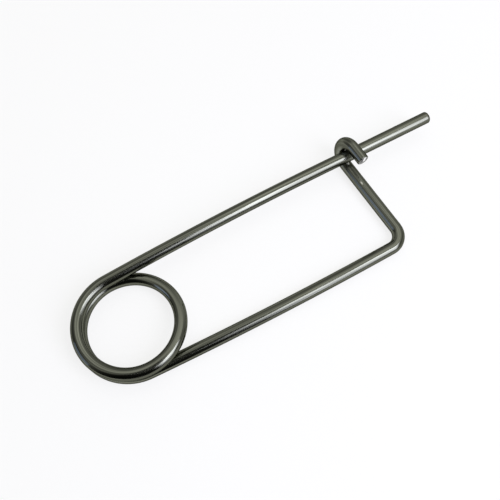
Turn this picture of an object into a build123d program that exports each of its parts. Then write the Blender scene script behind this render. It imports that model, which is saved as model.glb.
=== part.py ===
from build123d import *
import os
from math import cos, degrees, radians, sin, sqrt

# Wire stock and spring coil, in millimetres and degrees
wire_diameter = 3.2
coil_inside_diameter = 21.0
turn_clearance = 0.2

# Pin leg, from the coil to the hook that holds it and on to its tip
pin_leg_splay = 5.8
pin_leg_length = 69.8
leg_bow_radius = 1060.0
tip_bend_radius = 434.0
tip_length = 21.3
tip_edge_radius = 0.6

# Corner of the back leg and the cross leg that leaves it
corner_inside_radius = 2.5
cross_leg_angle = 94.2

# Hook over the pin leg, which it holds with these clearances
hook_tilt = 11.0
hook_top_clearance = 0.3
hook_side_clearance = 0.1
hook_end_length = 4.4
hook_end_chamfer = 0.2

# Sizes that follow from the wire
quarter_turn = 90.0
half_turn = 180.0
wire_radius = wire_diameter / 2
turn_pitch = wire_diameter + turn_clearance
coil_radius = coil_inside_diameter / 2 + wire_radius
corner_radius = corner_inside_radius + wire_radius
hook_height = turn_pitch + wire_diameter + hook_top_clearance
hook_diameter = hook_height / cos(radians(hook_tilt))
hook_setback = hook_diameter / 2 - wire_diameter - hook_side_clearance
hook_reach = hook_diameter * sin(radians(hook_tilt)) + wire_diameter
up = Vector(0, 0, 1)
lower_level = Plane.XY.offset(wire_radius)
upper_level = lower_level.offset(turn_pitch)

# Upper run of the wire: first half turn of the coil, pin leg sprung into the hook and straight tip
with BuildLine(upper_level) as upper_run:
    first_half_turn = CenterArc((0, 0), coil_radius, quarter_turn + pin_leg_splay, half_turn - pin_leg_splay)
    pin_leg_turn = degrees(pin_leg_length / leg_bow_radius)
    pin_leg = JernArc(first_half_turn @ 0, -(first_half_turn % 0), leg_bow_radius, -pin_leg_turn)
    tip_bend_turn = degrees(hook_reach / tip_bend_radius)
    tip_bend = JernArc(pin_leg @ 1, pin_leg % 1, tip_bend_radius, tip_bend_turn)
    tip = Line(tip_bend @ 1, tip_bend @ 1 + (tip_bend % 1) * tip_length)

# The cross leg runs to the hook's foot under the pin leg, set back so that the hook closes on its side
pin_direction = pin_leg % 1
cross_direction = pin_direction.rotate(Axis.Z, cross_leg_angle)
corner_side = cross_direction.rotate(Axis.Z, quarter_turn)
hook_foot = pin_leg @ 1 - up * turn_pitch - cross_direction * hook_setback

# Centre of the corner bend, tangent to the bowed back leg and to the cross leg
bow_centre = Vector(0, leg_bow_radius - coil_radius, wire_radius)
corner_offset = hook_foot + corner_side * corner_radius - bow_centre
offset_along_cross = corner_offset.dot(cross_direction)
centre_distance = leg_bow_radius - corner_radius
drop = offset_along_cross + sqrt(centre_distance**2 - corner_offset.length**2 + offset_along_cross**2)
corner_centre = bow_centre + corner_offset - cross_direction * drop
corner_start = bow_centre + (corner_centre - bow_centre).normalized() * leg_bow_radius
corner_end = corner_centre - corner_side * corner_radius

# Lower run of the wire: last half turn of the coil, back leg, corner and cross leg
with BuildLine(lower_level) as lower_run:
    last_half_turn = CenterArc((0, 0), coil_radius, quarter_turn, half_turn)
    back_leg = TangentArc(last_half_turn @ 1, corner_start, tangent=last_half_turn % 1)
    corner = TangentArc(back_leg @ 1, corner_end, tangent=back_leg % 1)
    cross_leg = Line(corner @ 1, hook_foot)

# Half turn of the coil that steps down one pitch, and the hook over the pin leg with its cut end
hook_rise = up * cos(radians(hook_tilt)) + pin_direction * sin(radians(hook_tilt))
with BuildLine() as links:
    step_half_turn = TangentArc(first_half_turn @ 1, last_half_turn @ 0, tangent=first_half_turn % 1)
    hook = TangentArc(hook_foot, hook_foot + hook_rise * hook_diameter, tangent=cross_direction)
    hook_end = Line(hook @ 1, hook @ 1 - cross_direction * hook_end_length)

# The pin is one length of round wire
with BuildPart() as safety_pin:
    centreline = Wire(upper_run.edges() + lower_run.edges() + links.edges())
    with BuildSketch(Plane(tip @ 1, z_dir=-(tip % 1))) as wire_section:
        Circle(wire_radius)
    sweep(path=centreline)
    tip_face = safety_pin.faces().sort_by_distance(tip @ 1)[0]
    fillet(tip_face.edges(), tip_edge_radius)
    cut_face = safety_pin.faces().sort_by_distance(hook_end @ 1)[0]
    chamfer(cut_face.edges(), hook_end_chamfer)

safety_pin.part.label = "safety_pin"
os.makedirs("parts", exist_ok=True)
export_step(safety_pin.part, "parts/safety_pin.step")
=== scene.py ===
from math import atan2, ceil, cos, degrees, pi, radians, sin, sqrt, tau

import bpy
from mathutils import Euler, Matrix, Vector


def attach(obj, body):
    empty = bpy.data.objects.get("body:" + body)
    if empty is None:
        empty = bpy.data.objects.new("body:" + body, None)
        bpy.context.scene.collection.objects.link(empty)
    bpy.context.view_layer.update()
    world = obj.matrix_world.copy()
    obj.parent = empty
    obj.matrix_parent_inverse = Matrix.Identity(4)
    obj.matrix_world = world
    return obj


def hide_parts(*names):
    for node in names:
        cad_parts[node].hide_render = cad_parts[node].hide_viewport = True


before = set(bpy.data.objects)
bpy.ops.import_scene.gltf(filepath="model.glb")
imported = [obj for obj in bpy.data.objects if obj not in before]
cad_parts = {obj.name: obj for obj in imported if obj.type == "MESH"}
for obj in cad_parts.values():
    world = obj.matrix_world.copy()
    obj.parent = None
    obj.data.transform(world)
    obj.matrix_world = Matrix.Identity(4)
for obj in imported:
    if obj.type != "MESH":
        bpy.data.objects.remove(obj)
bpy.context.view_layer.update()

# Sizes of the wire form, in metres and degrees
wire_diameter = 0.0032
coil_inside_diameter = 0.021
turn_clearance = 0.0002
pin_leg_splay = 5.8
pin_leg_length = 0.0698
leg_bow_radius = 1.06
tip_bend_radius = 0.434
tip_length = 0.0213
tip_edge_radius = 0.0006
corner_inside_radius = 0.0025
cross_leg_angle = 94.2
hook_tilt = 11.0
hook_top_clearance = 0.0003
hook_side_clearance = 0.0001
hook_end_length = 0.0044
hook_end_chamfer = 0.0002
quarter_turn = 90.0

# Sizes that follow from the wire
wire_radius = wire_diameter / 2
turn_pitch = wire_diameter + turn_clearance
coil_radius = coil_inside_diameter / 2 + wire_radius
corner_radius = corner_inside_radius + wire_radius
hook_height = turn_pitch + wire_diameter + hook_top_clearance
hook_diameter = hook_height / cos(radians(hook_tilt))
hook_setback = hook_diameter / 2 - wire_diameter - hook_side_clearance
hook_reach = hook_diameter * sin(radians(hook_tilt)) + wire_diameter
lower_height = wire_radius
upper_height = lower_height + turn_pitch

# Fineness of the mesh, and the angle past which its edges look sharp
ring_sides = 64
ring_step = 0.0005
bend_step = 0.00025
edge_rings = 6
face_rings = 8
sharp_edge_angle = 35.0

# Drawn steel: its tones, roughness and tint at grazing angles, and how fine and deep its die lines are
steel_tones = (
    (0.34, (0.078, 0.081, 0.063)),
    (0.5, (0.121, 0.125, 0.097)),
    (0.66, (0.18, 0.186, 0.145)),
)
steel_roughness = (0.06, 0.14)
steel_grazing_tint = (0.3, 0.3, 0.3, 1.0)
die_lines_per_metre = 30.0
die_lines_per_radius = 6.0
die_line_detail = 2.0
die_line_depth = 0.00004

# How much duller the wire is, by share of its length from the tip
dull_shares = (
    (0.0, 0.0),
    (0.068, 0.0),
    (0.071, 0.35),
    (0.08, 0.35),
    (0.084, 0.0),
    (0.87, 0.0),
    (0.9, 0.05),
    (0.93, 0.2),
    (0.955, 0.2),
    (0.965, 0.1),
    (1.0, 0.1),
)

# Rubbed steel with painted light, a brighter tone that lifts the shade on the top of the pin under the hook
# and inside the hook, by share of the length and by side
rubbed_painted_light_tone = (0.3, 0.31, 0.26)
rubbed_painted_light_shares = (
    (0.068, 0.0),
    (0.071, 1.0),
    (0.078, 1.0),
    (0.082, 0.0),
    (0.95, 0.0),
    (0.96, 1.0),
)
rubbed_painted_light_side_shares = (
    (0.55, 0.0),
    (0.85, 1.0),
)

# A nick painted bright with its glint, and a painted glint where light shows under the pin, on the cross leg:
# places and reaches, as shares of the wire's length and radius
nick_and_glint_place_shares = ((0.92753, -0.49, -0.87), (0.94877, -0.25, -0.97))
nick_and_glint_reach_shares = ((0.002186, 0.16, 0.16), (0.002498, 0.35, 0.35))
nick_and_glint_core_share = 0.5
# Tones of the nick and of the glint, painted bright as highlights
nick_and_glint_tones = ((0.55, 0.55, 0.45), (0.98, 0.98, 0.85))
nick_and_glint_dullness = 0.3

# Cut face: a painted glint and a dark band across its sheared upper part, and how that gives way to the
# fracture below
sheared_glint_and_dark_tones = (
    (0.16, (0.2, 0.2, 0.19)),
    (0.28, (0.03, 0.03, 0.03)),
    (0.42, (0.03, 0.03, 0.03)),
    (0.51, (0.95, 0.95, 0.94)),
    (0.63, (0.95, 0.95, 0.94)),
    (0.76, (0.14, 0.14, 0.13)),
)
sheared_glint_shares = (
    (0.32, 0.0),
    (0.42, 1.0),
)

# Grain of the cut face's fracture
fracture_tones = (
    (0.3, (0.16, 0.16, 0.15)),
    (0.7, (0.34, 0.34, 0.32)),
)
cut_roughness = (0.25, 0.5)
grains_per_metre = 2000.0
grains_per_radius = 6.0
grain_detail = 4.0

# Camera, as fitted to the photograph
camera_position = Vector((0.007832, -0.046599, 0.14768))
camera_target = Vector((0.034819, 0.00591, 0.0))
photo_up = Vector((0.40707, 0.83461, 0.37113))
camera_lens = 44.742
camera_sensor = 36.0
camera_clip = 0.01

# Main soft panel overhead, in steps that soften its edges, with their shares of its width and length
panel_centre = Vector((0.31, -0.458, 0.324))
panel_width = 0.32
panel_length = 0.69
panel_tilt = 12.7
panel_turn = 16.7
panel_radiance = 6.9
panel_colour = (0.785, 0.785, 1.0)
panel_step_shares = ((1.25, 1.0), (0.95, 0.8), (0.65, 0.6))
panel_step_height = 0.004

# Cool low panel beyond the coil
fill_centre = Vector((-1.0, 0.14, 0.3))
fill_width = 0.5
fill_height = 0.6
fill_radiance = 1.3
fill_colour = (0.44, 0.57, 1.0)

# Dark round card behind the camera, which the steel mirrors
viewer_radius = 0.05
viewer_setback = 0.004
viewer_sides = 48
viewer_colour = (0.2, 0.2, 0.2, 1.0)

# Pale floor, and how far it stays white to the eye and in reflections
floor_size = 8.0
floor_colour = (0.94, 0.94, 0.88, 1.0)
floor_glow_share = 0.8

# Walls round the table by share of a turn, from the coil's end past the dark side where the viewer stands
wall_level = 1.66
wall_shares = (
    (0.0, 0.58),
    (0.03, 0.32),
    (0.06, 0.08),
    (0.11, 0.023),
    (0.23, 0.03),
    (0.285, 0.08),
    (0.33, 0.73),
    (0.47, 0.73),
    (0.52, 0.9),
    (0.55, 1.0),
    (0.65, 1.0),
    (0.69, 0.72),
    (0.74, 0.69),
    (0.78, 0.77),
    (0.84, 0.75),
    (0.89, 0.385),
    (0.945, 0.32),
    (1.0, 0.58),
)

# Walls and ceiling by height, from the horizon to straight overhead
height_shares = (
    (0.0, 0.5),
    (0.1, 0.45),
    (0.25, 0.4),
    (0.5, 0.36),
    (0.62, 0.4),
    (0.72, 0.6),
    (0.82, 0.9),
    (0.9, 1.0),
    (0.95, 0.95),
    (1.0, 0.52),
)

# Material slots of the wire
wire_slot = 0
cut_slot = 1


def turned(vector, degrees_about_z):
    """The vector turned about the vertical."""
    return Matrix.Rotation(radians(degrees_about_z), 3, "Z") @ vector


def line_run(start, end, step):
    """Points and directions along a straight run, its first point left to the run before."""
    count = ceil((end - start).length / step)
    direction = (end - start).normalized()
    return [(start.lerp(end, i / count), direction) for i in range(1, count + 1)]


def arc_run(start, direction, end, step):
    """Points and directions along the arc that leaves start in that direction and ends at end."""
    chord = end - start
    inward = chord - direction * chord.dot(direction)
    turn = 2 * atan2(inward.length, chord.dot(direction))
    radius = chord.length / (2 * sin(turn / 2))
    inward.normalize()
    count = ceil(radius * turn / step)
    run = []
    for i in range(1, count + 1):
        angle = turn * i / count
        place = start + (direction * sin(angle) + inward * (1 - cos(angle))) * radius
        run.append((place, direction * cos(angle) + inward * sin(angle)))
    return run


def wire_path():
    """The wire's centreline from the tip to the hook's cut end, as points with directions."""
    splay = radians(pin_leg_splay)
    up = Vector((0, 0, 1))

    # Pin leg, from the coil outwards
    outward = Vector((-sin(splay), cos(splay), 0))
    coil_start = outward * coil_radius + up * upper_height
    bow_centre = coil_start - outward * leg_bow_radius
    pin_leg_turn = -degrees(pin_leg_length / leg_bow_radius)
    hook_point = bow_centre + turned(outward, pin_leg_turn) * leg_bow_radius
    pin_direction = turned(outward, pin_leg_turn - quarter_turn)

    # Slight bend outwards past the hook, and the straight tip
    tip_bend = degrees(hook_reach / tip_bend_radius)
    tip_direction = turned(pin_direction, tip_bend)
    bend_chord = 2 * tip_bend_radius * sin(radians(tip_bend / 2))
    tip_start = hook_point + turned(pin_direction, tip_bend / 2) * bend_chord
    tip_end = tip_start + tip_direction * tip_length

    # Corner of the back leg, tangent to the bowed leg and to the cross leg
    cross_direction = turned(pin_direction, cross_leg_angle)
    corner_side = turned(cross_direction, quarter_turn)
    hook_foot = hook_point - up * turn_pitch - cross_direction * hook_setback
    back_bow_centre = Vector((0, leg_bow_radius - coil_radius, lower_height))
    offset = hook_foot + corner_side * corner_radius - back_bow_centre
    along = offset.dot(cross_direction)
    drop = along + sqrt((leg_bow_radius - corner_radius) ** 2 - offset.length_squared + along**2)
    corner_centre = back_bow_centre + offset - cross_direction * drop
    corner_start = back_bow_centre + (corner_centre - back_bow_centre).normalized() * leg_bow_radius
    corner_end = corner_centre - corner_side * corner_radius

    # Hook over the pin leg and its straight end
    hook_rise = up * cos(radians(hook_tilt)) + pin_direction * sin(radians(hook_tilt))
    hook_top = hook_foot + hook_rise * hook_diameter
    hook_tip = hook_top - cross_direction * hook_end_length

    # Far ends of the coil's three half turns
    front_foot = Vector((0, -coil_radius, upper_height))
    rear_top = Vector((0, coil_radius, lower_height))
    rear_foot = Vector((0, -coil_radius, lower_height))

    # All runs, each arc leaving in the direction in which the run before it ends
    path = [(tip_end, -tip_direction)]
    path += line_run(tip_end, tip_start, ring_step)
    for end in (hook_point, coil_start, front_foot, rear_top, rear_foot, corner_start):
        path += arc_run(*path[-1], end, ring_step)
    path += arc_run(*path[-1], corner_end, bend_step)
    path += line_run(corner_end, hook_foot, ring_step)
    path += arc_run(hook_foot, cross_direction, hook_top, bend_step)
    path += line_run(hook_top, hook_tip, bend_step)
    return path


def carried_frames(path):
    """Each point of the path with its direction and a side vector carried along without twist."""
    before = path[0][1]
    side = before.cross(Vector((0, 0, 1))).normalized()
    frames = []
    for place, direction in path:
        side = before.rotation_difference(direction) @ side
        side = (side - direction * side.dot(direction)).normalized()
        frames.append((place, direction, side))
        before = direction
    return frames


class Tube:
    """Vertices and faces of the swept wire, ring by ring."""

    def __init__(self):
        self.length = 0.0
        self.places = []
        self.coords = []
        self.faces = []
        self.slots = []

    def ring(self, place, direction, side, radius, distance):
        """Adds one ring of vertices and returns the number of its first one."""
        first = len(self.places)
        other = direction.cross(side)
        radius_share = radius / wire_radius
        for k in range(ring_sides):
            angle = tau * k / ring_sides
            around = side * cos(angle) + other * sin(angle)
            self.places.append(place + around * radius)
            self.coords.append((distance, radius_share * cos(angle), radius_share * sin(angle)))
        return first

    def skin(self, a, b, slot):
        """Joins two rings with quads."""
        for k in range(ring_sides):
            j = (k + 1) % ring_sides
            self.faces.append((a + k, a + j, b + j, b + k))
            self.slots.append(slot)

    def cap(self, ring, place, distance, slot, at_start):
        """Closes a ring at the wire's start or end with a fan about its centre."""
        centre = len(self.places)
        self.places.append(place)
        self.coords.append((distance, 0.0, 0.0))
        for k in range(ring_sides):
            j = (k + 1) % ring_sides
            self.faces.append((ring + j, ring + k, centre) if at_start else (ring + k, ring + j, centre))
            self.slots.append(slot)


def tip_profile():
    """Radius and depth of each ring on the rounded tip, from the middle of its end face outwards."""
    flat_radius = wire_radius - tip_edge_radius
    rings = [(flat_radius * (i / face_rings), 0.0) for i in range(1, face_rings)]
    for i in range(edge_rings + 1):
        angle = pi / 2 * i / edge_rings
        rings.append((wire_radius - tip_edge_radius * (1 - sin(angle)), tip_edge_radius * (1 - cos(angle))))
    return rings


def build_wire(frames):
    """The whole wire: rounded tip, swept body and sheared hook end."""
    tube = Tube()

    # Rounded tip
    place, direction, side = frames[0]
    last = None
    for radius, depth in tip_profile():
        ring = tube.ring(place + direction * depth, direction, side, radius, depth)
        if last is None:
            tube.cap(ring, place, 0.0, wire_slot, True)
        else:
            tube.skin(last, ring, wire_slot)
        last = ring

    # Swept body between the two ends
    tube.length = sum((b[0] - a[0]).length for a, b in zip(frames, frames[1:]))
    distance = 0.0
    before = place
    for place, direction, side in frames[1:]:
        distance += (place - before).length
        before = place
        if tip_edge_radius < distance < tube.length - hook_end_chamfer:
            ring = tube.ring(place, direction, side, wire_radius, distance)
            tube.skin(last, ring, wire_slot)
            last = ring

    # Sheared end of the hook: narrow chamfer and a cut face
    place, direction, side = frames[-1]
    cut_radius = wire_radius - hook_end_chamfer
    for radius, depth in ((wire_radius, hook_end_chamfer), (cut_radius, 0.0)):
        ring = tube.ring(place - direction * depth, direction, side, radius, tube.length - depth)
        tube.skin(last, ring, wire_slot)
        last = ring
    for i in range(face_rings - 1, 0, -1):
        ring = tube.ring(place, direction, side, cut_radius * i / face_rings, tube.length)
        tube.skin(last, ring, cut_slot)
        last = ring
    tube.cap(last, place, tube.length, cut_slot, False)
    return tube


def wire_object(tube):
    """The Blender object of the wire, with each vertex's distance along it and place round its axis."""
    mesh = bpy.data.meshes.new("wire_form")
    mesh.from_pydata(tube.places, [], tube.faces)
    attribute = mesh.attributes.new("wire_coords", "FLOAT_VECTOR", "POINT")
    attribute.data.foreach_set("vector", [value for row in tube.coords for value in row])
    mesh.polygons.foreach_set("material_index", tube.slots)
    mesh.polygons.foreach_set("use_smooth", [True] * len(tube.faces))
    mesh.set_sharp_from_angle(angle=radians(sharp_edge_angle))
    mesh.update()
    piece = bpy.data.objects.new("wire_form", mesh)
    bpy.context.collection.objects.link(piece)
    return piece


def emptied_tree(owner):
    """The emptied node tree of a material or world."""
    owner.use_nodes = True
    owner.node_tree.nodes.clear()
    return owner.node_tree


def node(tree, kind, inputs, **settings):
    """Adds a node with its settings and with inputs from sockets or plain values, and returns its outputs."""
    made = tree.nodes.new("ShaderNode" + kind)
    for name, value in settings.items():
        setattr(made, name, value)
    for key, source in inputs.items():
        if isinstance(source, bpy.types.NodeSocket):
            tree.links.new(source, made.inputs[key])
        else:
            made.inputs[key].default_value = source
    return made.outputs


def end_in_shader(tree, inputs):
    """Ends a material in one surface shader with these inputs."""
    shader = node(tree, "BsdfPrincipled", inputs)["BSDF"]
    node(tree, "OutputMaterial", {"Surface": shader})


def ramp(tree, source, stops):
    """A colour ramp over a source value, from pairs of position and colour."""
    made = tree.nodes.new("ShaderNodeValToRGB")
    elements = made.color_ramp.elements
    elements.remove(elements[-1])
    elements[0].position = stops[0][0]
    elements[0].color = (*stops[0][1], 1.0)
    for position, colour in stops[1:]:
        elements.new(position).color = (*colour, 1.0)
    tree.links.new(source, made.inputs["Fac"])
    return made.outputs["Color"]


def level_ramp(tree, source, shares):
    """A ramp of plain levels over a source value, from pairs of share and level."""
    return ramp(tree, source, [(share, (level, level, level)) for share, level in shares])


def spread(tree, source, limits):
    """A source value from 0 to 1 spread between two limits."""
    return node(tree, "MapRange", {"Value": source, "To Min": limits[0], "To Max": limits[1]})["Result"]


def as_share(tree, source, low, high):
    """A source value as a share of the way from low to high."""
    return node(tree, "MapRange", {"Value": source, "From Min": low, "From Max": high})["Result"]


def calculated(tree, operation, *sources, clamp=False):
    """A calculation on sources that are sockets or plain numbers."""
    return node(tree, "Math", dict(enumerate(sources)), operation=operation, use_clamp=clamp)["Value"]


def vector_calculated(tree, operation, *sources):
    """The outputs of a calculation on vectors that are sockets or plain ones."""
    return node(tree, "VectorMath", dict(enumerate(sources)), operation=operation)


def mixed(tree, share, first, second, blend="MIX"):
    """Two colours mixed by a share of the second."""
    inputs = {"Factor": share, "A": first, "B": second}
    return node(tree, "Mix", inputs, data_type="RGBA", blend_type=blend)["Result"]


def wire_coords(tree):
    """Distance along the wire in metres, and two places across it as shares of its radius."""
    return node(tree, "Attribute", {}, attribute_name="wire_coords")["Vector"]


def streak_noise(tree, per_metre, per_radius, detail):
    """Noise drawn out along the wire."""
    scale = (per_metre, per_radius, per_radius)
    stretched = vector_calculated(tree, "MULTIPLY", wire_coords(tree), scale)["Vector"]
    return node(tree, "TexNoise", {"Vector": stretched, "Scale": 1.0, "Detail": detail})["Fac"]


def rubbed_painted_light_share(tree, run, downward):
    """How far the steel is rubbed and brightened with painted light against the shade under the hook, by
    share of the length and from the underside to the top.
    """
    side = as_share(tree, downward, 1.0, -1.0)
    along = level_ramp(tree, run, rubbed_painted_light_shares)
    return calculated(tree, "MULTIPLY", along, level_ramp(tree, side, rubbed_painted_light_side_shares))


def nick_and_glint_share(tree, coords, place, reach):
    """How far a place on the wire lies in one of the painted bright spots, the nick and the glint, which
    fades towards its rim.
    """
    offset = vector_calculated(tree, "SUBTRACT", coords, place)["Vector"]
    offset_shares = vector_calculated(tree, "DIVIDE", offset, reach)["Vector"]
    distance_share = vector_calculated(tree, "LENGTH", offset_shares)["Value"]
    return as_share(tree, distance_share, 1.0, nick_and_glint_core_share)


def drawn_steel(length):
    """Bright drawn spring steel, olive grey with die lines, rubbed and brightened with painted light under
    the hook, dulled in places, with a nick and a painted glint.
    """
    material = bpy.data.materials.new("drawn_spring_steel")
    tree = emptied_tree(material)
    coords = wire_coords(tree)
    axes = node(tree, "SeparateXYZ", {"Vector": coords})
    run = as_share(tree, axes["X"], 0.0, length)
    lines = streak_noise(tree, die_lines_per_metre, die_lines_per_radius, die_line_detail)

    # Tone and roughness along the wire
    # The rubbed zones under and inside the hook get a brighter tone: painted light where shade falls
    rubbed_painted_light = rubbed_painted_light_share(tree, run, axes["Z"])
    tone = mixed(tree, rubbed_painted_light, ramp(tree, lines, steel_tones), (*rubbed_painted_light_tone, 1.0))
    dullness = level_ramp(tree, run, dull_shares)
    roughness = calculated(tree, "ADD", spread(tree, lines, steel_roughness), dullness)

    # The nick and the painted glint over both, as painted bright spots
    scale = Vector((length, 1, 1))
    for place_shares, reach_shares, nick_and_glint_tone in zip(nick_and_glint_place_shares, nick_and_glint_reach_shares, nick_and_glint_tones):
        painted_glint_spot = nick_and_glint_share(tree, coords, scale * Vector(place_shares), scale * Vector(reach_shares))
        tone = mixed(tree, painted_glint_spot, tone, (*nick_and_glint_tone, 1.0))
        roughness = calculated(tree, "MULTIPLY_ADD", painted_glint_spot, nick_and_glint_dullness, roughness)

    bump = node(tree, "Bump", {"Strength": 1.0, "Distance": die_line_depth, "Height": lines})
    end_in_shader(tree, {
        "Base Color": tone,
        "Metallic": 1.0,
        "Specular Tint": steel_grazing_tint,
        "Roughness": roughness,
        "Normal": bump["Normal"],
    })
    return material


def sheared_steel():
    """The hook's cut face: a painted glint and a dark band across its sheared part, and dull grain where it
    broke off.
    """
    material = bpy.data.materials.new("sheared_steel")
    tree = emptied_tree(material)
    axes = node(tree, "SeparateXYZ", {"Vector": wire_coords(tree)})
    across = as_share(tree, axes["Y"], -1.0, 1.0)
    upward = as_share(tree, axes["Z"], -1.0, 1.0)
    grain = streak_noise(tree, grains_per_metre, grains_per_radius, grain_detail)
    sheared_glint = level_ramp(tree, upward, sheared_glint_shares)
    # The sheared part carries a painted glint beside a dark band; below it lies the fracture grain
    tone = mixed(tree, sheared_glint, ramp(tree, grain, fracture_tones), ramp(tree, across, sheared_glint_and_dark_tones))
    roughness = spread(tree, grain, cut_roughness)
    end_in_shader(tree, {"Base Color": tone, "Metallic": 1.0, "Roughness": roughness})
    return material


def floor_material():
    """Pale floor that stays near white to the eye and in reflections, and keeps the shadow."""
    material = bpy.data.materials.new("pale_floor")
    tree = emptied_tree(material)
    rays = node(tree, "LightPath", {})
    seen = rays["Is Camera Ray"]
    for kind in ("Is Glossy Ray", "Is Transmission Ray"):
        seen = calculated(tree, "ADD", seen, rays[kind], clamp=True)
    share = calculated(tree, "MULTIPLY", seen, floor_glow_share)
    diffuse = node(tree, "BsdfDiffuse", {"Color": floor_colour})["BSDF"]
    glow = node(tree, "Emission", {"Strength": 1.0})["Emission"]
    surface = node(tree, "MixShader", {0: share, 1: diffuse, 2: glow})["Shader"]
    node(tree, "OutputMaterial", {"Surface": surface})
    return material


def card_material():
    """Plain dark card."""
    material = bpy.data.materials.new("dark_card")
    end_in_shader(emptied_tree(material), {"Base Color": viewer_colour, "Roughness": 1.0})
    return material


def flat_object(name, corners, material):
    """A flat face with these corners, for what stands round the pin."""
    mesh = bpy.data.meshes.new(name)
    mesh.from_pydata(corners, [], [tuple(range(len(corners)))])
    mesh.materials.append(material)
    face = bpy.data.objects.new(name, mesh)
    bpy.context.collection.objects.link(face)
    return face


def add_floor():
    """The floor that the pin lies on."""
    half = floor_size / 2
    corners = [(-half, -half, 0), (half, -half, 0), (half, half, 0), (-half, half, 0)]
    floor = flat_object("floor", corners, floor_material())


def camera_axes():
    """Right, up and back of the photograph's viewpoint."""
    back = (camera_position - camera_target).normalized()
    right = photo_up.cross(back).normalized()
    return right, back.cross(right), back


def add_viewer():
    """The dark card, which stands for camera and hands where the steel mirrors them."""
    right, up, back = camera_axes()
    centre = camera_position + back * viewer_setback
    rim = []
    for k in range(viewer_sides):
        angle = tau * k / viewer_sides
        rim.append(centre + (right * cos(angle) + up * sin(angle)) * viewer_radius)
    card = flat_object("viewer_card", rim, card_material())
    card.visible_camera = False
    card.visible_shadow = False


def add_panel(name, centre, turn, size, radiance, colour):
    """A soft rectangular panel that faces down before it is turned, with its level as radiance."""
    light = bpy.data.lights.new(name, "AREA")
    light.shape = "RECTANGLE"
    light.size, light.size_y = size
    light.energy = radiance * pi * light.size * light.size_y
    light.color = colour
    lamp = bpy.data.objects.new(name, light)
    lamp.location = centre
    lamp.rotation_euler = turn
    bpy.context.collection.objects.link(lamp)


def add_panels():
    """The main panel to the right of the camera, and the cool fill that stands upright and faces the pin."""
    main_turn = (radians(panel_tilt), 0, radians(panel_turn))
    near_way = Euler(main_turn).to_matrix() @ Vector((0, 1, 0))
    step_radiance = panel_radiance / len(panel_step_shares)
    for step, (width_share, length_share) in enumerate(panel_step_shares):
        size = (panel_width * width_share, panel_length * length_share)
        centre = panel_centre + near_way * (panel_length - size[1]) / 2
        centre.z += step * panel_step_height
        add_panel("overhead_panel", centre, main_turn, size, step_radiance, panel_colour)
    fill_turn = (0, radians(-quarter_turn), 0)
    add_panel("cool_fill", fill_centre, fill_turn, (fill_height, fill_width), fill_radiance, fill_colour)


def add_world():
    """Plain soft surroundings: lit walls and ceiling, dim at the horizon, dark where the viewer stands."""
    world = bpy.data.worlds.new("studio")
    bpy.context.scene.world = world
    tree = emptied_tree(world)
    axes = node(tree, "SeparateXYZ", {"Vector": node(tree, "TexCoord", {})["Generated"]})
    bearing = calculated(tree, "ARCTAN2", axes["Y"], axes["X"])
    walls = level_ramp(tree, as_share(tree, bearing, -pi, pi), wall_shares)
    heights = level_ramp(tree, axes["Z"], height_shares)
    shade = mixed(tree, 1.0, walls, heights, blend="MULTIPLY")
    background = node(tree, "Background", {"Color": shade, "Strength": wall_level})["Background"]
    node(tree, "OutputWorld", {"Surface": background})


def add_camera():
    """The photograph's viewpoint."""
    data = bpy.data.cameras.new("photo_camera")
    data.lens = camera_lens
    data.sensor_width = camera_sensor
    data.clip_start = camera_clip
    camera = bpy.data.objects.new("photo_camera", data)
    turn = Matrix(camera_axes()).transposed().to_4x4()
    camera.matrix_world = Matrix.Translation(camera_position) @ turn
    bpy.context.collection.objects.link(camera)
    bpy.context.scene.camera = camera


tube = build_wire(carried_frames(wire_path()))
wire = wire_object(tube)
wire.data.materials.append(drawn_steel(tube.length))
wire.data.materials.append(sheared_steel())
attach(wire, "root")
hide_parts("safety_pin")

add_floor()
add_panels()
add_viewer()
add_world()
add_camera()
bpy.context.scene.view_settings.view_transform = "Standard"
